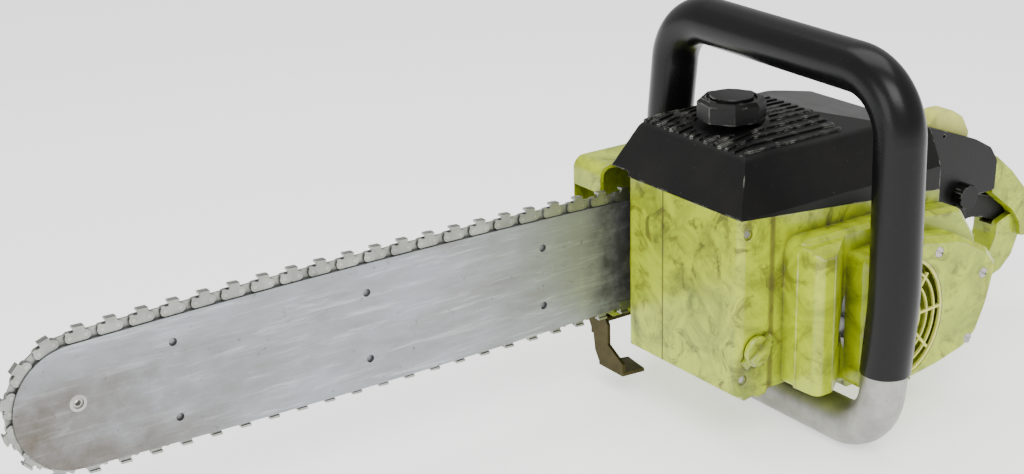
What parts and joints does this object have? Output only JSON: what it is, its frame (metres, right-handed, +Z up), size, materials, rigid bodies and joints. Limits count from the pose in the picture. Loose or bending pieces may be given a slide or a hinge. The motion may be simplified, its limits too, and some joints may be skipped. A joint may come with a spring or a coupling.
{
  "type": "chainsaw",
  "caption": "Petrol chainsaw with guide bar and full chain, wrap-round front handle, recoil starter, ribbed top cover, trigger and rear handle, built as separate working pieces",
  "frame": {"origin": "centre of the overall box in plan, on the plane the saw rests on", "axes": "+X rearward along the bar, +Y to the operator's right, +Z up"},
  "size_m": [0.8334, 0.273, 0.2933],
  "materials": {
    "bar_steel": "satin",
    "chain_steel": "satin",
    "rivet_steel": "satin",
    "yellow_paint": "satin",
    "pale_yellow": "gloss",
    "black_plastic": "matte",
    "sleeve_rubber": "satin",
    "handle_metal": "satin",
    "cast_alloy": "matte",
    "engine_steel": "satin",
    "catcher_brass": "satin",
    "plug_ceramic": "gloss",
    "filter_felt": "matte",
    "rope": "matte"
  },
  "bodies": {
    "saw_body": {"air_filter": "filter_felt", "bar_nuts": "rivet_steel", "bar_studs": "rivet_steel", "carburetor": "cast_alloy", "catcher_bolts": "rivet_steel", "chain_catcher": "catcher_brass", "chain_cutters": "chain_steel", "chain_drive_links": "chain_steel", "chain_rivets": "rivet_steel", "chain_tie_straps": "chain_steel", "clutch_cover": "yellow_paint", "connecting_rod": "engine_steel", "control_pins": "rivet_steel", "crankcase_left": "yellow_paint", "crankcase_right": "yellow_paint", "crankshaft": "engine_steel", "cylinder": "cast_alloy", "fan_housing": "yellow_paint", "filter_stud": "rivet_steel", "front_handle": "handle_metal", "guide_bar": "bar_steel", "handle_bolts": "rivet_steel", "handle_clamp": "handle_metal", "handle_sleeve": "sleeve_rubber", "ignition_coil": "engine_steel", "intake_boot": "sleeve_rubber", "main_bearings": "engine_steel", "muffler": "engine_steel", "nose_rivet": "rivet_steel", "nose_sprocket": "chain_steel", "oil_pump": "cast_alloy", "piston": "cast_alloy", "piston_rings": "engine_steel", "plug_boot": "black_plastic", "rear_grip": "black_plastic", "rear_handle": "yellow_paint", "recoil_spring": "engine_steel", "spark_plug": "plug_ceramic", "starter_cover": "yellow_paint", "starter_grille": "pale_yellow", "starter_rope_lead": "rope", "starter_screws": "rivet_steel", "top_cover": "black_plastic", "wrist_pin": "rivet_steel"},
    "crank": {"flywheel": "cast_alloy", "clutch_shoes": "engine_steel", "clutch_nut": "rivet_steel"},
    "drum": {"clutch_drum": "engine_steel", "drum_bearing": "engine_steel"},
    "pull_grip": {"starter_grip": "black_plastic"},
    "pulley": {"starter_pulley": "black_plastic", "starter_rope": "rope"},
    "throttle_trigger": {"trigger": "black_plastic"},
    "palm": {"interlock_lever": "pale_yellow"},
    "throttle_link": {"throttle_rod": "rivet_steel"},
    "cover_knob": {"filter_knob": "black_plastic"},
    "oil_filler_cap": {"oil_cap": "black_plastic"},
    "fuel_filler_cap": {"fuel_cap": "black_plastic"},
    "choke": {"choke_knob": "black_plastic"},
    "switch": {"stop_switch": "black_plastic"}
  },
  "joints": [
    {"name": "crank_spin", "type": "hinge", "parent": "saw_body", "child": "crank", "pos_m": [0.17113, 0.08151, 0.0868], "axis": [0, 1, 0], "continuous": true},
    {"name": "drum_spin", "type": "hinge", "parent": "saw_body", "child": "drum", "pos_m": [0.17113, 0.08151, 0.0868], "axis": [0, 1, 0], "continuous": true},
    {"name": "rope_pull", "type": "slide", "parent": "saw_body", "child": "pull_grip", "axis": [0, 0, 1], "range_m": [0, 0.5], "stiffness_N_per_m": 20},
    {"name": "pulley_turn", "type": "hinge", "parent": "saw_body", "child": "pulley", "pos_m": [0.17113, 0.08151, 0.0868], "axis": [0, 1, 0], "range_deg": [0, 1600]},
    {"name": "trigger_pull", "type": "hinge", "parent": "saw_body", "child": "throttle_trigger", "pos_m": [0.31713, 0.02151, 0.1098], "axis": [0, -1, 0], "range_deg": [0, 8], "stiffness_Nm_per_rad": 0.6},
    {"name": "throttle_slide", "type": "slide", "parent": "saw_body", "child": "throttle_link", "axis": [-0.9461, 0, 0.324], "range_m": [0, 0.002]},
    {"name": "palm_press", "type": "hinge", "parent": "saw_body", "child": "palm", "pos_m": [0.30113, 0.02151, 0.1718], "axis": [0, 1, 0], "range_deg": [0, 7], "stiffness_Nm_per_rad": 0.6},
    {"name": "knob_turn", "type": "hinge", "parent": "saw_body", "child": "cover_knob", "pos_m": [0.10413, 0.02151, 0.2208], "axis": [0, 0, 1], "continuous": true},
    {"name": "oil_cap_turn", "type": "hinge", "parent": "saw_body", "child": "oil_filler_cap", "pos_m": [0.06463, -0.05249, 0.0778], "axis": [0, -1, 0], "range_deg": [0, 90]},
    {"name": "fuel_cap_turn", "type": "hinge", "parent": "saw_body", "child": "fuel_filler_cap", "pos_m": [0.23913, -0.02649, 0.0828], "axis": [1, 0, 0], "range_deg": [0, 90]},
    {"name": "choke_pull", "type": "slide", "parent": "saw_body", "child": "choke", "axis": [0, -1, 0], "range_m": [0, 0.008]},
    {"name": "stop_slide", "type": "slide", "parent": "saw_body", "child": "switch", "axis": [1, 0, 0], "range_m": [0, 0.007]}
  ],
  "couplings": [
    {"joint": "pulley_turn", "follows": "rope_pull", "rad_per_m": 55.5},
    {"joint": "throttle_slide", "follows": "trigger_pull", "m_per_rad": 0.014}
  ]
}
